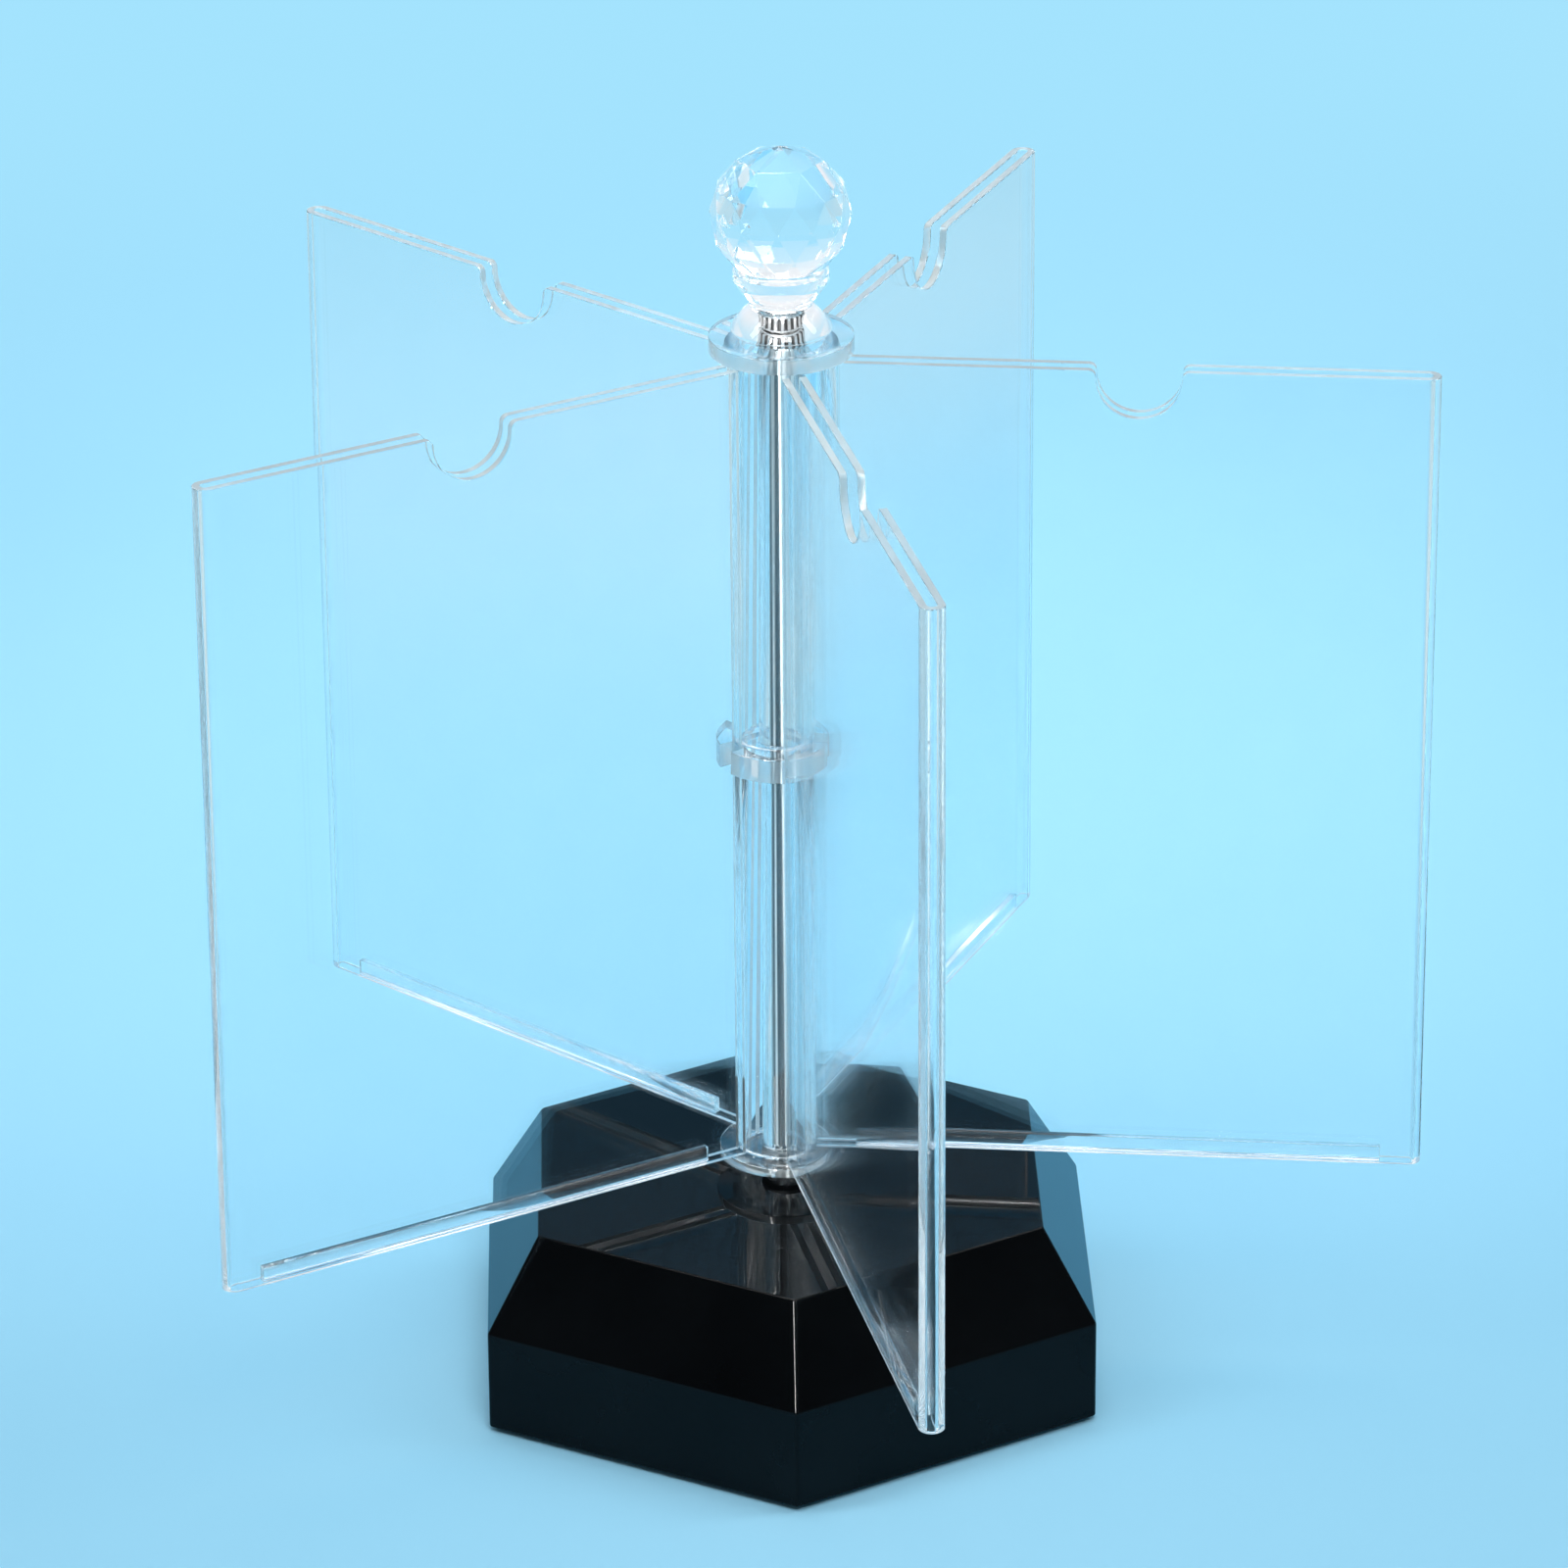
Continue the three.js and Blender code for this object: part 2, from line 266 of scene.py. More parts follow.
# Black without shine for the disc at the finial's joint: painted shade.
seam_painted_shade = solid_material(
    "seam_painted_shade", colours=((0.004, 0.004, 0.004), (0.012, 0.012, 0.013)),
    roughness=(0.6, 0.8), grain=300.0, height=0.02 * MM, strength=0.5, shine=0.0,
)
pad_foam = solid_material(
    "pad_foam", colours=((0.012, 0.012, 0.013), (0.03, 0.03, 0.032)),
    roughness=(0.85, 0.98), grain=500.0, height=0.2 * MM, strength=0.9,
)


# Meshes and outlines

EASE_STEPS = 3
EASE_SHARE = 0.45


def new_mesh(name, vertices, faces):
    mesh = bpy.data.meshes.new(name)
    mesh.from_pydata([tuple(v) for v in vertices], [], faces)
    return mesh


def face_outwards(mesh):
    tool = bmesh.new()
    tool.from_mesh(mesh)
    bmesh.ops.recalc_face_normals(tool, faces=tool.faces)
    tool.to_mesh(mesh)
    tool.free()


def place(name, data):
    made = bpy.data.objects.new(name, data)
    scene.collection.objects.link(made)
    return made


def finish_piece(name, mesh, body, stands_for, sharp):
    mesh.polygons.foreach_set("use_smooth", [True] * len(mesh.polygons))
    mesh.set_sharp_from_angle(angle=math.radians(sharp))
    made = place(name, mesh)
    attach(made, body)
    if stands_for:
        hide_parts(*stands_for)
    return made


def piece(name, mesh_data, material, body, stands_for=(), sharp=32.0, edge_material=None):
    """Mesh data is vertices, faces and, with an edge material, the faces that take it."""
    vertices, faces, *edge_faces = mesh_data
    mesh = new_mesh(name, vertices, faces)
    mesh.materials.append(material)
    if edge_material:
        mesh.materials.append(edge_material)
        for index in edge_faces[0]:
            mesh.polygons[index].material_index = 1
    face_outwards(mesh)
    return finish_piece(name, mesh, body, stands_for, sharp)


def joined(rings, closed=True):
    """Quads between neighbouring rings of equal length; a ring of one point closes to a tip."""
    vertices, indices = [], []
    count = max(len(r) for r in rings)
    for ring in rings:
        start = len(vertices)
        vertices += ring
        indices.append([start + i % len(ring) for i in range(count)])
    faces = []
    pairs = zip(indices, indices[1:] + indices[:1]) if closed else zip(indices, indices[1:])
    for a, b in pairs:
        for i in range(count):
            j = (i + 1) % count
            face = list(dict.fromkeys((a[i], a[j], b[j], b[i])))
            if len(face) > 2:
                faces.append(face)
    return vertices, faces


def circle(radius, z, sides=ROUND):
    if radius == 0:
        return [Vector((0, 0, z))]
    return [polar(radius, 360 * i / sides, z) for i in range(sides)]


def revolve(profile, sides=ROUND):
    return joined([circle(r, z, sides) for r, z in profile])


def corner_curve(start, corner, end, steps):
    """Points of a rounded corner, from start to end."""
    shares = [k / steps for k in range(steps + 1)]
    return [start * (1 - t) ** 2 + corner * 2 * t * (1 - t) + end * t * t for t in shares]


def eased(corners, radius):
    """A closed outline with its corners rounded off, apart from those on the axis."""
    out = []
    for i, corner in enumerate(corners):
        if corner[0] == 0:
            out.append(corner)
            continue
        here = Vector(corner)
        back = Vector(corners[i - 1]) - here
        on = Vector(corners[(i + 1) % len(corners)]) - here
        cut = min(radius, EASE_SHARE * back.length, EASE_SHARE * on.length)
        start, end = here + back.normalized() * cut, here + on.normalized() * cut
        out += [tuple(p) for p in corner_curve(start, here, end, EASE_STEPS)]
    return out


def flowing(points, steps=8):
    """A smooth line through (radius, height) points."""
    ends = [Vector(p) for p in (points[0], *points, points[-1])]
    out = []
    for a, b, c, d in zip(ends, ends[1:], ends[2:], ends[3:]):
        for k in range(steps):
            t = k / steps
            straight = 2 * b + (c - a) * t
            bend = (2 * a - 5 * b + 4 * c - d) * t**2
            twist = (3 * b - a - 3 * c + d) * t**3
            out.append(tuple(0.5 * (straight + bend + twist)))
    return out + [points[-1]]


def ring_profile(outer, inner, low, high, ease):
    return eased([(inner, low), (outer, low), (outer, high), (inner, high)], ease)


def turned_about(mesh_data, degrees):
    matrix = Matrix.Rotation(math.radians(degrees), 4, "Z")
    return ([matrix @ Vector(v) for v in mesh_data[0]], *mesh_data[1:])


# Base: a polished black block with eased edges, on its foam pad

BASE_TOP_R = 63.9 * MM
BASE_WALL_Z = 24.2 * MM
BASE_EASE = 0.45 * MM
HEX_EASE = 0.7 * MM
NUT_POCKET_R = 10 * MM
NUT_POCKET_DEPTH = 12 * MM


def hexagon(radius, z):
    """Hexagon with a corner towards -Y, its corners rounded and its sides divided."""
    corners = [polar(radius, -90 + 60 * k, z) for k in range(6)]
    ring = []
    for k, corner in enumerate(corners):
        before, after = corners[k - 1] - corner, corners[(k + 1) % 6] - corner
        start, end = corner + before.normalized() * HEX_EASE, corner + after.normalized() * HEX_EASE
        ring += corner_curve(start, corner, end, 4)
        ring += [corner + after * share for share in (0.25, 0.5, 0.75)]
    return ring


def round_as(ring, radius, z):
    """Circle with a point for each point of the ring."""
    return [Vector((p.x, p.y, 0)).normalized() * radius + Vector((0, 0, z)) for p in ring]


base_low, base_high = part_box("base_block")
base_r = -base_low.y
nut_pocket_top = base_low.z + NUT_POCKET_DEPTH
base_outline = eased(
    [
        (NUT_POCKET_R, base_low.z), (base_r, base_low.z), (base_r, BASE_WALL_Z),
        (BASE_TOP_R, base_high.z), (TAP_R, base_high.z),
    ],
    BASE_EASE,
)
corner_points = EASE_STEPS + 1
outer_corners = base_outline[corner_points:4 * corner_points]
hexes = [hexagon(r, z) for r, z in outer_corners]
block = piece(
    "base_block_polished",
    joined([
        round_as(hexes[0], NUT_POCKET_R, base_low.z),
        *hexes,
        round_as(hexes[0], TAP_R, base_high.z),
        round_as(hexes[0], TAP_R, nut_pocket_top),
        round_as(hexes[0], NUT_POCKET_R, nut_pocket_top),
    ]),
    black_gloss, "stand", ["base_block"], sharp=60,
)
normals = block.modifiers.new("flat_faces", "WEIGHTED_NORMAL")
normals.keep_sharp = True

for node, material in (("base_pad", pad_foam), ("base_washer", steel), ("base_nut", steel)):
    nodes[node].data.materials.clear()
    nodes[node].data.materials.append(material)


# Spindle: a ground shaft with cut thread at both ends

SHAFT_SIDES = 48
THREAD_PITCH = 0.8 * MM
THREAD_CREST = 2.48 * MM
THREAD_ROOT = 2.08 * MM
THREAD_STEPS = 8
THREAD_SLOPE = 2.2
ROOT_FLAT = 0.35
SHOULDER_RISE = 0.6 * MM
SHOULDER_NECK_R = 2.3 * MM
SHOULDER_CHAMFER_R = 2.75 * MM
TOP_CHAMFER_R = 2.8 * MM
TOP_NECK_R = 2.2 * MM


def threaded(low, high):
    """Rings of a single-start thread."""
    count = round((high - low) / THREAD_PITCH * THREAD_STEPS)
    rings = []
    for k in range(count + 1):
        z = low + (high - low) * k / count
        fade = min(1.0, (z - low) / THREAD_PITCH, (high - z) / THREAD_PITCH)
        ring = []
        for i in range(SHAFT_SIDES):
            phase = ((z / THREAD_PITCH) - i / SHAFT_SIDES) % 1
            height = min(1.0, max(0.0, THREAD_SLOPE * (1 - abs(2 * phase - 1)) - ROOT_FLAT))
            radius = THREAD_ROOT + (THREAD_CREST - THREAD_ROOT) * height * fade
            ring.append(polar(radius, 360 * i / SHAFT_SIDES, z))
        rings.append(ring)
    return rings


spindle_low, spindle_high = span("spindle")
shoulder_z = span("lower_tube")[0] + SHOULDER_RISE
shaft_top = span("finial_foot")[0]
shaft_line = (
    (SHOULDER_NECK_R, shoulder_z + 0.05 * MM),
    (SHOULDER_CHAMFER_R, shoulder_z + 0.1 * MM),
    (SHAFT_R, shoulder_z + 0.55 * MM),
    (SHAFT_R, shaft_top - 0.4 * MM),
    (TOP_CHAMFER_R, shaft_top),
    (TOP_NECK_R, shaft_top + 0.02 * MM),
)
spindle_rings = [
    [Vector((0, 0, spindle_low))],
    *threaded(spindle_low, shoulder_z),
    *[circle(r, z, SHAFT_SIDES) for r, z in shaft_line],
    *threaded(shaft_top + 0.05 * MM, spindle_high),
    [Vector((0, 0, spindle_high))],
]
piece("spindle_threaded", joined(spindle_rings, closed=False), steel, "stand", ["spindle"], sharp=40)


# Jam nut with chamfered corners, and the washer that the column turns on

NUT_ACROSS = 8 * MM
NUT_TURN = -113
NUT_POINTS = 144
NUT_CHAMFER_FROM = 0.94
NUT_CHAMFER_SLOPE = math.tan(math.radians(30))
WASHER_EASE = 0.15 * MM
WASHER_SIDES = 96


def nut(low, high, across, bore, turn):
    flat = across / 2
    chamfer_from = NUT_CHAMFER_FROM * flat

    def hex_radius(degrees):
        return flat / math.cos(math.radians((degrees - turn) % 60 - 30))

    steps = [360 * i / NUT_POINTS for i in range(NUT_POINTS)]
    fall = [max(0.0, hex_radius(a) - chamfer_from) * NUT_CHAMFER_SLOPE for a in steps]
    return joined([
        [polar(bore, a, low) for a in steps],
        [polar(chamfer_from, a, low) for a in steps],
        [polar(hex_radius(a), a, low + f) for a, f in zip(steps, fall)],
        [polar(hex_radius(a), a, high - f) for a, f in zip(steps, fall)],
        [polar(chamfer_from, a, high) for a in steps],
        [polar(bore, a, high) for a in steps],
    ])


piece(
    "jam_nut_chamfered", nut(*span("jam_nut"), NUT_ACROSS, TAP_R, NUT_TURN),
    thread_steel, "stand", ["jam_nut"],
)
washer_profile = ring_profile(reach("thrust_washer"), TAP_R, *span("thrust_washer"), WASHER_EASE)
piece(
    "thrust_washer_turned", revolve(washer_profile, WASHER_SIDES),
    black_plastic, "stand", ["thrust_washer"],
)


# Column: discs, tubes and sleeve

RING_EASE = 0.18 * MM
RIM_TOLERANCE = 0.01 * MM
SLOT_HALF = 3.1 * MM
SLOT_BOTTOM = 12.0 * MM
SLOT_ARC_STEPS = 28
HOLE_SIDES = 96


def rim_faces(vertices, faces, radius):
    """Faces of the outer wall."""
    inside = radius - RIM_TOLERANCE
    return [i for i, face in enumerate(faces) if min(vertices[v].xy.length for v in face) > inside]


def clear_ring(node, inner, material, rim=None):
    vertices, faces = revolve(ring_profile(reach(node), inner, *span(node), RING_EASE))
    piece(
        f"{node}_clear", (vertices, faces, rim_faces(vertices, faces, reach(node))), material, "rotor",
        [node], edge_material=rim,
    )


clear_ring("bottom_disc", SLEEVE_BORE, turned_clear, sawn_rim)
clear_ring("lower_tube", TUBE_BORE, tube_clear)
clear_ring("upper_tube", TUBE_BORE, tube_clear)
clear_ring("sleeve", SLEEVE_BORE, turned_clear)
clear_ring("top_disc", SLEEVE_HOLE, turned_clear, sawn_rim)


def slotted_outline(radius):
    """The middle disc's outline, with a slot for the inner end of each pocket."""
    mouth = math.degrees(math.asin(SLOT_HALF / radius))
    edge = math.sqrt(radius**2 - SLOT_HALF**2)
    slot = ((edge, -SLOT_HALF), (SLOT_BOTTOM, -SLOT_HALF), (SLOT_BOTTOM, SLOT_HALF), (edge, SLOT_HALF))
    points = []
    for angle in POCKET_ANGLES:
        turn = Matrix.Rotation(math.radians(angle), 3, "Z")
        points += [turn @ Vector((x, y, 0)) for x, y in slot]
        first, last = angle + mouth, angle + 360 / POCKETS - mouth
        shares = [k / SLOT_ARC_STEPS for k in range(1, SLOT_ARC_STEPS)]
        points += [polar(radius, first + (last - first) * share) for share in shares]
    return points


def slotted_disc(radius, hole, low, high):
    """Disc with a chamfered, slotted outline and a plain hole; its upright walls are the edge faces."""
    full, cut_back = slotted_outline(radius), slotted_outline(radius - RING_EASE)
    outlines = ((cut_back, low), (full, low + RING_EASE), (full, high - RING_EASE), (cut_back, high))
    inner = [polar(hole, 360 * i / HOLE_SIDES) for i in range(HOLE_SIDES)]
    n, m = len(full), len(inner)
    vertices = [Vector((p.x, p.y, z)) for points, z in outlines for p in points]
    vertices += [Vector((p.x, p.y, z)) for z in (low, high) for p in inner]
    top, bore = 3 * n, 4 * n
    caps = tessellate_polygon([cut_back, inner])
    faces = [[i if i < n else bore + i - n for i in cap] for cap in caps]
    faces += [[top + i if i < n else bore + m + i - n for i in cap] for cap in caps]
    first_wall = len(faces) + n
    for row in range(3):
        for i in range(n):
            a, b = row * n + i, row * n + (i + 1) % n
            faces.append([a, b, b + n, a + n])
    for i in range(m):
        a, b = bore + i, bore + (i + 1) % m
        faces.append([a, b, b + m, a + m])
    return vertices, faces, range(first_wall, first_wall + n)


piece(
    "middle_disc_slotted", slotted_disc(reach("middle_disc"), SLEEVE_HOLE, *span("middle_disc")),
    turned_clear, "rotor", ["middle_disc"], edge_material=sawn_rim,
)


# Pockets: one sheet each, folded at the outside, with a thumb notch, and a spacer strip at the bottom

POCKET_IN = 12.3 * MM
POCKET_OUT = 140.4 * MM
POCKET_HALF = 2.8 * MM
GAP_HALF = 1.0 * MM
NOTCH_R = 9.2 * MM
NOTCH_EDGE_R = 1.6 * MM
SHEET_EASE = 0.14 * MM
FOLD_STEPS = 28
SECTION_POINTS = 8
FLAT_EDGES = (2, 6)
STRIP_IN = 21 * MM
STRIP_OUT = 131.5 * MM
STRIP_HALF = 0.85 * MM
STRIP_EASE = 0.25 * MM


def arc(centre, radius, start, end, steps):
    return [
        Vector((centre[0] + radius * math.cos(a), centre[1] + radius * math.sin(a)))
        for a in (math.radians(start + (end - start) * k / steps) for k in range(steps + 1))
    ]


def notched_top(high, fold_x):
    """A wall's top edge from the column to the fold, as (distance out, height) points."""
    middle = (POCKET_IN + POCKET_OUT) / 2
    half = NOTCH_R + NOTCH_EDGE_R
    level = high - NOTCH_EDGE_R
    return [
        Vector((POCKET_IN, high)),
        *arc((middle - half, level), NOTCH_EDGE_R, 90, 0, 6),
        *arc((middle, level), NOTCH_R, 180, 360, 30)[1:],
        *arc((middle + half, level), NOTCH_EDGE_R, 180, 90, 6)[1:],
        Vector((fold_x, high)),
    ]


def set_down(line, distance):
    """The line, moved down at right angles to itself."""
    out = []
    for i, point in enumerate(line):
        along = line[min(i + 1, len(line) - 1)] - line[max(i - 1, 0)]
        down = Vector((along.y, -along.x)).normalized()
        out.append(point + down * distance)
    return out


def pocket_mesh():
    """A chamfered section of the sheet, taken along one wall, round the fold and back along the other."""
    low, high = span("pocket_1")
    fold_x = POCKET_OUT - POCKET_HALF
    mid_r = (POCKET_HALF + GAP_HALF) / 2
    thick = (POCKET_HALF - GAP_HALF) / 2
    top = notched_top(high, fold_x)
    inset = set_down(top, SHEET_EASE)

    def wall(side):
        return [
            (Vector((t.x, side * mid_r)), Vector((0, side)), t.y, Vector((e.x, side * mid_r)), e.y)
            for t, e in zip(top, inset)
        ]

    fold = []
    for k in range(1, FOLD_STEPS):
        angle = math.radians(-90 + 180 * k / FOLD_STEPS)
        normal = Vector((math.cos(angle), math.sin(angle)))
        at = Vector((fold_x, 0)) + normal * mid_r
        fold.append((at, normal, high, at, high - SHEET_EASE))

    rings = []
    for at, normal, z_top, at_inset, z_inset in wall(-1) + fold + wall(1)[::-1]:
        wide, narrow = normal * thick, normal * (thick - SHEET_EASE)
        section = (
            (at + wide, low + SHEET_EASE), (at_inset + wide, z_inset),
            (at + narrow, z_top), (at - narrow, z_top),
            (at_inset - wide, z_inset), (at - wide, low + SHEET_EASE),
            (at - narrow, low), (at + narrow, low),
        )
        rings.append([Vector((p.x, p.y, z)) for p, z in section])
    vertices, faces = joined(rings, closed=False)
    edges = [i for i in range(len(faces)) if i % SECTION_POINTS in FLAT_EDGES]
    edges += [len(faces), len(faces) + 1]
    last = len(vertices) - SECTION_POINTS
    faces += [list(range(SECTION_POINTS)), list(range(last, last + SECTION_POINTS))]
    return vertices, faces, edges


def eased_box(low, high, ease):
    tool = bmesh.new()
    bmesh.ops.create_cube(tool, size=1)
    size = [b - a for a, b in zip(low, high)]
    centre = [(a + b) / 2 for a, b in zip(low, high)]
    for v in tool.verts:
        v.co = Vector([c + s * p for c, s, p in zip(centre, size, v.co)])
    bmesh.ops.bevel(tool, geom=tool.edges[:], offset=ease, segments=2, profile=0.5, affect="EDGES")
    vertices = [v.co.copy() for v in tool.verts]
    faces = [[v.index for v in f.verts] for f in tool.faces]
    tool.free()
    return vertices, faces


strip_low, strip_high = span("spacer_strip_1")
pocket_data = pocket_mesh()
strip_data = eased_box((STRIP_IN, -STRIP_HALF, strip_low), (STRIP_OUT, STRIP_HALF, strip_high), STRIP_EASE)
for i, angle in enumerate(POCKET_ANGLES, 1):
    piece(
        f"pocket_{i}_sheet", turned_about(pocket_data, angle), sheet_clear, "rotor",
        [f"pocket_{i}"], edge_material=cut_edge,
    )
    piece(
        f"spacer_strip_{i}_clear", turned_about(strip_data, angle), turned_clear, "rotor",
        [f"spacer_strip_{i}"],
    )


# Finial: a flared foot

foot_low, foot_high = span("finial_foot")
foot_h = foot_high - foot_low
foot_r = reach("finial_foot")
foot_line = flowing([
    (foot_r - 1.3 * MM, foot_low),
    (foot_r, foot_low + 0.17 * foot_h),
    (foot_r - 0.5 * MM, foot_low + 0.36 * foot_h),
    (WAIST_R + 2 * MM, foot_low + 0.65 * foot_h),
    (WAIST_R + 0.6 * MM, foot_low + 0.86 * foot_h),
    (WAIST_R, foot_high),
])
piece(
    "finial_foot_turned", revolve([(0, foot_low), *foot_line, (0, foot_high)]), crystal, "stand",
    ["finial_foot"], sharp=28,
)


# Finial: the toothed threaded insert, with painted shade in its tooth valleys, and a black disc of painted
# shade at the joint above it

INSERT_TEETH = 18
INSERT_R = 3.4 * MM
INSERT_NECK_R = 3.0 * MM
BAND_RISE = 0.4 * MM
BAND_H = 3.0 * MM
BAND_CHAMFER = 0.1 * MM
BAND_CHAMFER_H = 0.15 * MM
TOOTH_DEPTH = 0.35 * MM
# Corners of one tooth: share of the pitch, and share of the depth that is cut away
TOOTH = ((0.0, 1), (0.28, 1), (0.4, 0), (0.88, 0))
TOOTH_CREST = 2
TOOTH_ROWS = (2, 5)
SEAM_R = 3.25 * MM
SEAM_LOW = 0.08 * MM
SEAM_HIGH = 0.3 * MM
SEAM_EASE = 0.05 * MM
SEAM_SIDES = 96


def toothed_ring(z, radius, depth):
    return [
        polar(radius - depth * cut, 360 * (i + share) / INSERT_TEETH, z)
        for i in range(INSERT_TEETH)
        for share, cut in TOOTH
    ]


insert_low, insert_high = span("finial_insert")
band_low = insert_low + BAND_RISE
band_high = band_low + BAND_H
insert_vertices, insert_faces = joined([
    toothed_ring(insert_low, INSERT_NECK_R, 0),
    toothed_ring(band_low, INSERT_NECK_R, 0),
    toothed_ring(band_low, INSERT_R - BAND_CHAMFER, TOOTH_DEPTH),
    toothed_ring(band_low + BAND_CHAMFER_H, INSERT_R, TOOTH_DEPTH),
    toothed_ring(band_high - BAND_CHAMFER_H, INSERT_R, TOOTH_DEPTH),
    toothed_ring(band_high, INSERT_R - BAND_CHAMFER, TOOTH_DEPTH),
    toothed_ring(band_high, INSERT_NECK_R, 0),
    toothed_ring(insert_high, INSERT_NECK_R, 0),
    toothed_ring(insert_high, TAP_R, 0),
    toothed_ring(insert_low, TAP_R, 0),
])
row_length = len(TOOTH) * INSERT_TEETH
tooth_faces = range(TOOTH_ROWS[0] * row_length, TOOTH_ROWS[1] * row_length)
# The tooth valleys take the near-black steel: painted shade.
painted_shade_grooves = [i for i in tooth_faces if i % len(TOOTH) != TOOTH_CREST]
piece(
    "finial_insert_knurled", (insert_vertices, insert_faces, painted_shade_grooves), thread_steel, "stand",
    ["finial_insert"], edge_material=groove_painted_shade,
)
# A thin black disc over the insert, under the ball: painted shade where the joint looks dark.
seam_profile = ring_profile(SEAM_R, 0, insert_high + SEAM_LOW, insert_high + SEAM_HIGH, SEAM_EASE)
piece("finial_seam_dark", revolve(seam_profile, SEAM_SIDES), seam_painted_shade, "stand")


# Finial: a faceted ball, joined to its turned collar and neck

BALL_R = 15.2 * MM
BALL_TURN = -94.0
# Rows of corners from the top down: latitude, number of corners, and their shift in steps
BALL_ROWS = ((90, 1, 0), (52, 6, 0.5), (24, 12, 0.5), (1, 12, 0), (-24, 12, 0.5), (-47, 12, 0))
FACET_EASE = 0.09 * MM
COLLAR_R = 10.3 * MM
COLLAR_RIM = 2.2 * MM
COLLAR_DROP = 12.4 * MM

ball_low, ball_high = span("finial_ball")
ball_z = ball_high - BALL_R
collar_top = ball_z - COLLAR_DROP
collar_z = collar_top - COLLAR_RIM


def faceted_ball():
    tool = bmesh.new()
    for latitude, corners, shift in BALL_ROWS:
        up = math.radians(latitude)
        for i in range(corners):
            turn = BALL_TURN + (i + shift) * 360 / corners
            tool.verts.new(polar(BALL_R * math.cos(up), turn, ball_z + BALL_R * math.sin(up)))
    hull = bmesh.ops.convex_hull(tool, input=tool.verts)
    bmesh.ops.delete(tool, geom=hull["geom_unused"], context="VERTS")
    bmesh.ops.dissolve_limit(tool, angle_limit=math.radians(1), verts=tool.verts, edges=tool.edges)
    bmesh.ops.bevel(tool, geom=tool.edges[:], offset=FACET_EASE, segments=1, profile=0.5, affect="EDGES")
    tool.verts.index_update()
    vertices = [v.co.copy() for v in tool.verts]
    faces = [[v.index for v in f.verts] for f in tool.faces]
    tool.free()
    return vertices, faces


def scratch_object(name, mesh_data):
    mesh = new_mesh(name, *mesh_data)
    face_outwards(mesh)
    return place(name, mesh)


flare = (collar_z - ball_low) / 5
neck_line = flowing([
    (WAIST_R, ball_low),
    (WAIST_R + 0.2 * MM, ball_low + 0.6 * flare),
    (WAIST_R + 2 * MM, ball_low + 2.8 * flare),
    (COLLAR_R - 0.4 * MM, collar_z - 0.6 * flare),
    (COLLAR_R, collar_z),
])
collar_line = [(COLLAR_R, collar_top - 0.25 * MM), (COLLAR_R - 0.2 * MM, collar_top)]
neck = scratch_object("neck", revolve([(0, ball_low), *neck_line, *collar_line, (0, ball_z)]))
ball = scratch_object("ball", faceted_ball())
union = ball.modifiers.new("union", "BOOLEAN")
union.operation = "UNION"
union.solver = "EXACT"
union.object = neck
ball_mesh = bpy.data.meshes.new_from_object(ball.evaluated_get(bpy.context.evaluated_depsgraph_get()))
for scratch in (ball, neck):
    bpy.data.objects.remove(scratch)
ball_mesh.materials.clear()
ball_mesh.materials.append(crystal)
finish_piece("finial_ball_cut", ball_mesh, "stand", ["finial_ball"], sharp=12)


# Floor: blue paper, whose colour is painted a little deeper where it is seen in a mirror: a painted
# reflection

FLOOR_HALF = 6.0
FLOOR_BLUE = ((0.345, 0.71, 0.955), (0.385, 0.75, 0.98))
FLOOR_BLUE_PAINTED_IN_MIRRORS = ((0.19, 0.63, 1.0), (0.22, 0.67, 1.0))
FAR_BLUE = (0.37, 0.77, 0.99)
# Colour of the glowing patches beside the part: painted light.
PAINTED_LIGHT_PATCH = (0.60, 0.78, 0.85)
# Distances from the axis at which these start and end, in metres
FAR_FADE_IN = (0.45, 0.9)
PATCH_FADE_IN = (0.22, 0.5)
PATCH_FADE_OUT = (0.55, 1.2)


def seen_directly(tree):
    """1 for camera, mirror and refracted rays, 0 for the rays that carry light; and the light path."""
    path = tree.nodes.new("ShaderNodeLightPath")
    bent = combine(tree, "MAXIMUM", path.outputs["Is Glossy Ray"], path.outputs["Is Transmission Ray"])
    return combine(tree, "MAXIMUM", path.outputs["Is Camera Ray"], bent), path


floor_paper, floor_tree, floor_shader = new_material("floor_paper")
floor_seen, floor_path = seen_directly(floor_tree)
in_mirrors = combine(
    floor_tree, "MULTIPLY", floor_path.outputs["Is Glossy Ray"], floor_path.outputs["Is Reflection Ray"]
)
paper = pattern(floor_tree, 1.6, 2.0)
blue_paper = ramp(floor_tree, paper, [(0.3, FLOOR_BLUE[0]), (0.7, FLOOR_BLUE[1])])
# Seen in a mirror, the paper takes a deeper blue: painted reflection.
painted_reflection_paper = ramp(floor_tree, paper, [(0.3, FLOOR_BLUE_PAINTED_IN_MIRRORS[0]), (0.7, FLOOR_BLUE_PAINTED_IN_MIRRORS[1])])
paper_colour = blend_colours(floor_tree, in_mirrors, blue_paper, painted_reflection_paper)
floor_tree.links.new(paper_colour, floor_shader.inputs["Base Color"])
floor_tree.links.new(ranged(floor_tree, paper, 0.7, 0.8), floor_shader.inputs["Roughness"])
floor_shader.inputs["Specular IOR Level"].default_value = 0.15

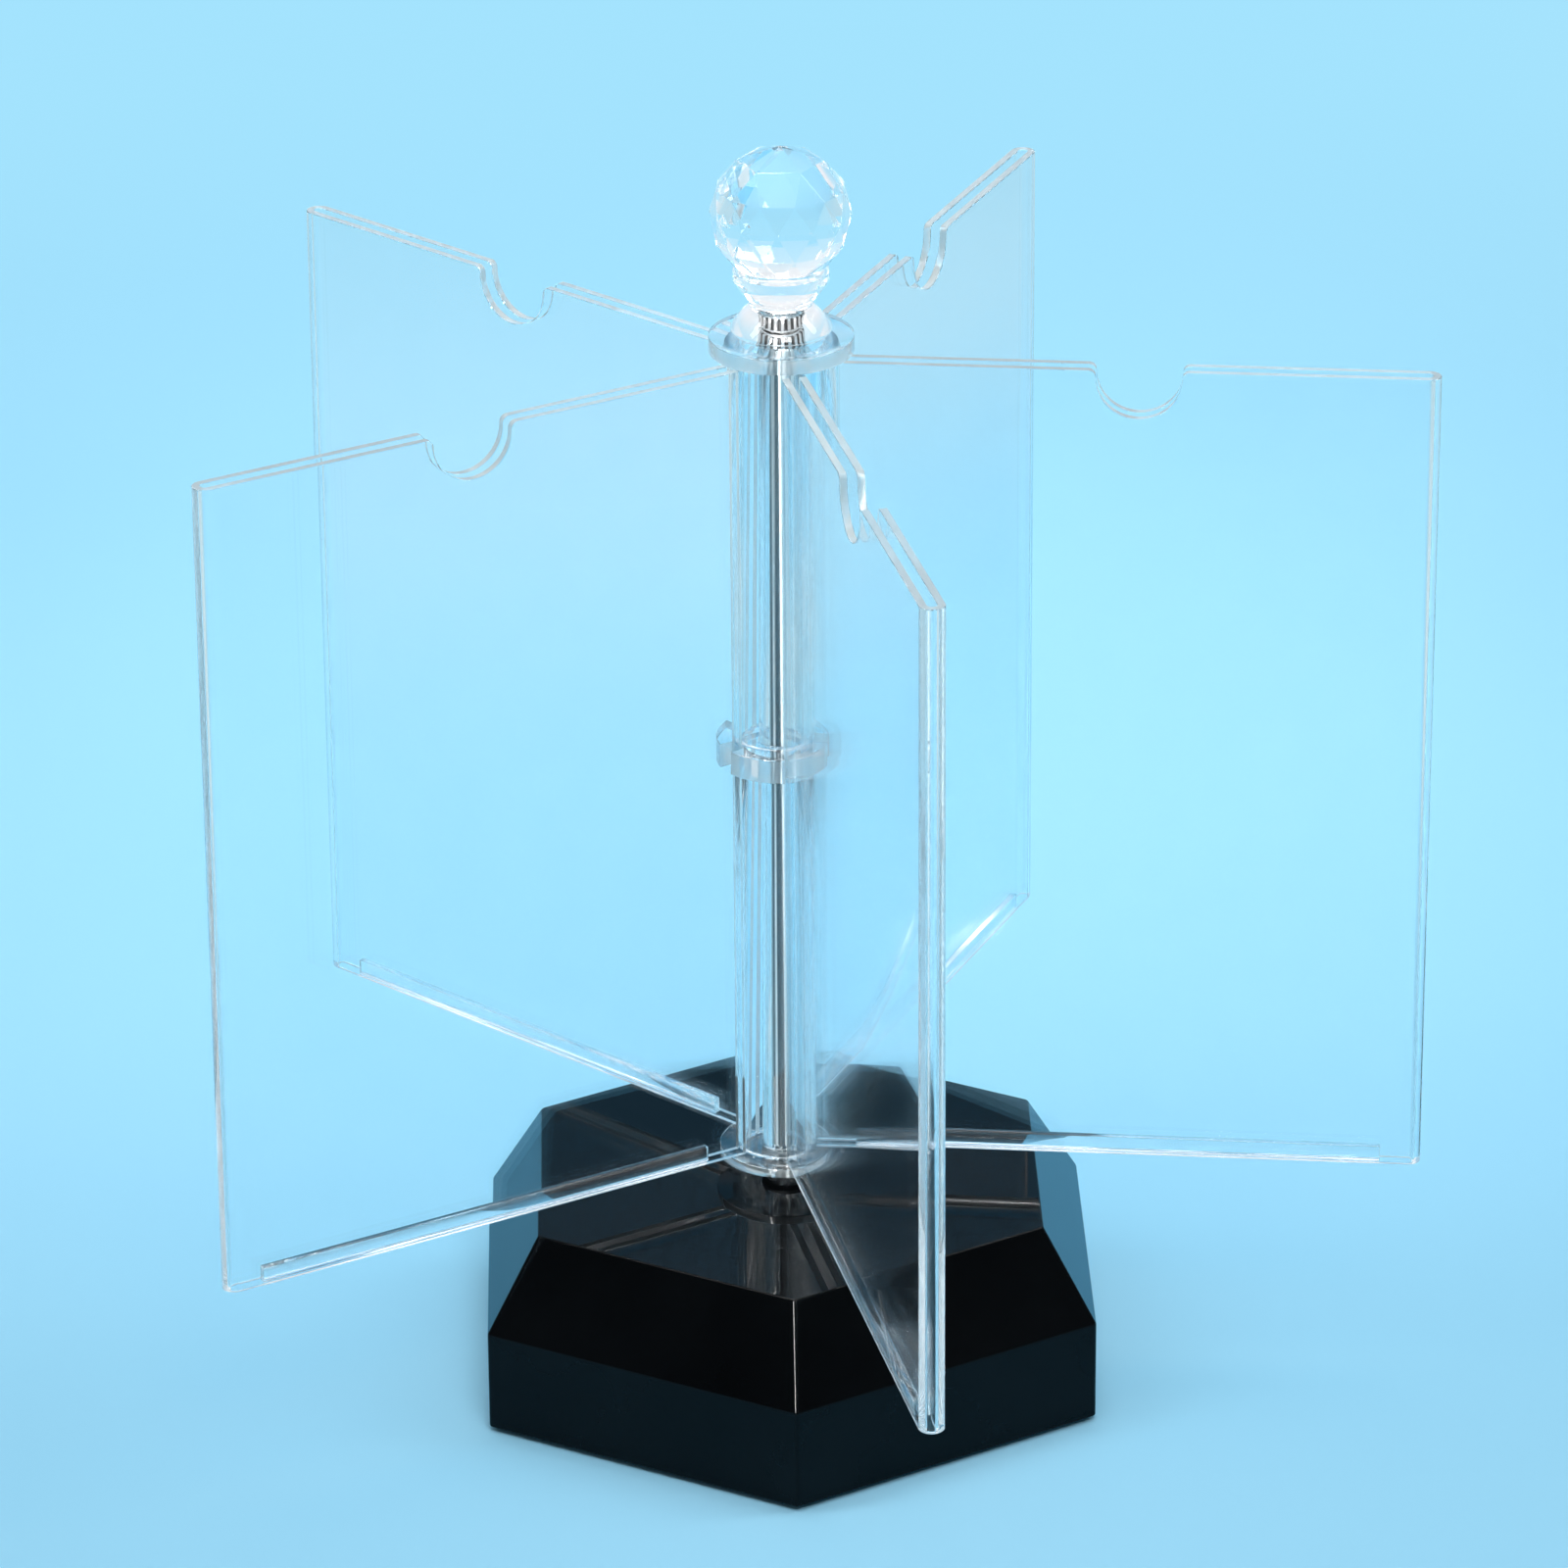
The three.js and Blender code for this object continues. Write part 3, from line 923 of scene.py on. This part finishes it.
# Away from the part the paper goes over into the plain backdrop colour, and on either side it glows in a soft
# pale patch: painted light
spot = floor_tree.nodes.new("ShaderNodeTexCoord")
distance = floor_tree.nodes.new("ShaderNodeVectorMath")
distance.operation = "LENGTH"
floor_tree.links.new(spot.outputs["Object"], distance.inputs[0])
across = floor_tree.nodes.new("ShaderNodeSeparateXYZ")
floor_tree.links.new(spot.outputs["Object"], across.inputs[0])
sideways = combine(floor_tree, "ABSOLUTE", across.outputs["X"])
away = ranged(floor_tree, distance.outputs["Value"], 0.0, 1.0, *FAR_FADE_IN, "SMOOTHSTEP")
patch_in = ranged(floor_tree, sideways, 0.0, 1.0, *PATCH_FADE_IN, "SMOOTHSTEP")
patch_out = ranged(floor_tree, distance.outputs["Value"], 1.0, 0.0, *PATCH_FADE_OUT, "SMOOTHSTEP")
patch = combine(floor_tree, "MULTIPLY", patch_in, patch_out)
far = combine(floor_tree, "MULTIPLY", combine(floor_tree, "MAXIMUM", away, patch), floor_seen)
far_colour = ramp(floor_tree, patch, [(0.0, FAR_BLUE), (1.0, PAINTED_LIGHT_PATCH)])
backdrop = floor_tree.nodes.new("ShaderNodeEmission")
floor_tree.links.new(far_colour, backdrop.inputs["Color"])
blend_shaders(floor_tree, far, floor_shader, backdrop, "Material Output")
floor_paper.cycles.emission_sampling = "NONE"

floor_corners = [(x * FLOOR_HALF, y * FLOOR_HALF, 0) for x, y in ((-1, -1), (1, -1), (1, 1), (-1, 1))]
floor_mesh = new_mesh("floor", floor_corners, [(0, 1, 2, 3)])
floor_mesh.materials.append(floor_paper)
place("floor", floor_mesh)


# Surroundings: light from all sides, and a studio that only mirrors and clear pieces show

BLUE = (0.34, 0.72, 0.98)
CEILING = (0.95, 0.97, 1.0)
DUSK = (0.01, 0.012, 0.015)
AMBIENT = (0.62, 0.94, 1.0)
AMBIENT_STRENGTH = 0.22
# A ray through fewer faces than about this many shows pale surroundings
FEW_FACES = (3.2, 3.8)

world = bpy.data.worlds.new("studio")
scene.world = world
world.use_nodes = True
world_tree = world.node_tree
ambient = world_tree.nodes["Background"]
ambient.inputs["Color"].default_value = (*AMBIENT, 1)
ambient.inputs["Strength"].default_value = AMBIENT_STRENGTH
direction = world_tree.nodes.new("ShaderNodeTexCoord")
parts = world_tree.nodes.new("ShaderNodeSeparateXYZ")
world_tree.links.new(direction.outputs["Generated"], parts.inputs[0])
upward = parts.outputs["Z"]
behind = ramp(world_tree, upward, [
    (0.10, BLUE), (0.30, (0.09, 0.40, 0.70)), (0.44, (0.11, 0.42, 0.70)), (0.62, CEILING),
])
before = ramp(world_tree, upward, [(0.02, (0.2, 0.45, 0.6)), (0.14, DUSK), (0.58, DUSK), (0.74, CEILING)])
pale = ramp(world_tree, upward, [(0.0, (0.45, 0.80, 1.0)), (0.20, (0.62, 0.87, 1.0)), (0.50, CEILING)])
back_sector = ranged(world_tree, parts.outputs["Y"], 0.0, 1.0, 0.45, 0.8)
mirrored = blend_colours(world_tree, back_sector, before, behind)
world_seen, world_path = seen_directly(world_tree)
few_faces = ranged(world_tree, world_path.outputs["Transmission Depth"], 1.0, 0.0, *FEW_FACES)
through = blend_colours(world_tree, few_faces, behind, pale)
studio = blend_colours(world_tree, world_path.outputs["Is Transmission Ray"], mirrored, through)
surroundings = world_tree.nodes.new("ShaderNodeBackground")
world_tree.links.new(studio, surroundings.inputs["Color"])
blend_shaders(world_tree, world_seen, ambient, surroundings, "World Output")


# Lamps: soft boxes over and round the part, and a narrow strip that only mirrors show

CEILING_Z = 0.95
MIDDLE_OF_PART = (0, 0, 0.14)


def softbox(name, at, aim, size, watts, spread):
    data = bpy.data.lights.new(name, "AREA")
    data.shape = "RECTANGLE"
    data.size, data.size_y = size
    data.energy = watts
    data.spread = math.radians(spread)
    lamp = place(name, data)
    lamp.location = at
    lamp.rotation_mode = "QUATERNION"
    lamp.rotation_quaternion = (Vector(aim) - Vector(at)).to_track_quat("-Z", "Y")
    lamp.visible_camera = False
    return lamp


for name, y, size, watts, spread in (
    ("overhead", 0.30, (0.7, 0.6), 0.8, 40),
    ("over_front", -0.45, (0.8, 0.5), 0.85, 40),
    ("over_backdrop", 0.9, (0.9, 0.6), 1.2, 50),
):
    softbox(name, (0.0, y, CEILING_Z), (0.0, y, 0.0), size, watts, spread)
softbox("left", (-1.15, -0.2, 1.5), MIDDLE_OF_PART, (0.4, 1.0), watts=1.45, spread=90)
softbox("right", (1.15, 0.1, 1.45), MIDDLE_OF_PART, (0.4, 1.0), watts=1.45, spread=90)
softbox("front", (0.3, -1.35, 1.6), MIDDLE_OF_PART, (0.7, 0.4), watts=0.7, spread=40)
front_strip = softbox("front_strip", (-0.56, -1.06, 0.95), MIDDLE_OF_PART, (0.05, 0.8), watts=6.0, spread=60)
front_strip.visible_diffuse = False


# Camera of the photograph

PHOTO_PIXELS = 1600
FOCAL_PIXELS = 8493.2
CAMERA_AT = Vector((-37.66, -1651.70, 889.19)) * MM
CAMERA_AIM = Vector((-0.09, 0.0, 138.24)) * MM
CAMERA_ROLL = math.radians(-0.405)

camera_data = bpy.data.cameras.new("camera")
camera = place("camera", camera_data)
scene.camera = camera
camera_data.sensor_width = 36.0
camera_data.lens = camera_data.sensor_width * FOCAL_PIXELS / PHOTO_PIXELS
camera_data.clip_start = 0.1
camera_data.clip_end = 50.0
back = (CAMERA_AT - CAMERA_AIM).normalized()
right = Vector((0, 0, 1)).cross(back).normalized()
up = back.cross(right)
tilted_right = right * math.cos(CAMERA_ROLL) + up * math.sin(CAMERA_ROLL)
tilted_up = up * math.cos(CAMERA_ROLL) - right * math.sin(CAMERA_ROLL)
camera.matrix_world = Matrix((tilted_right, tilted_up, back)).transposed().to_4x4()
camera.location = CAMERA_AT


# Light has to pass many clear faces

CLEAR_BOUNCES = 160

scene.view_settings.view_transform = "Standard"
scene.cycles.max_bounces = CLEAR_BOUNCES
scene.cycles.transmission_bounces = CLEAR_BOUNCES
scene.cycles.glossy_bounces = CLEAR_BOUNCES
scene.cycles.transparent_max_bounces = 64

bpy.context.view_layer.update()
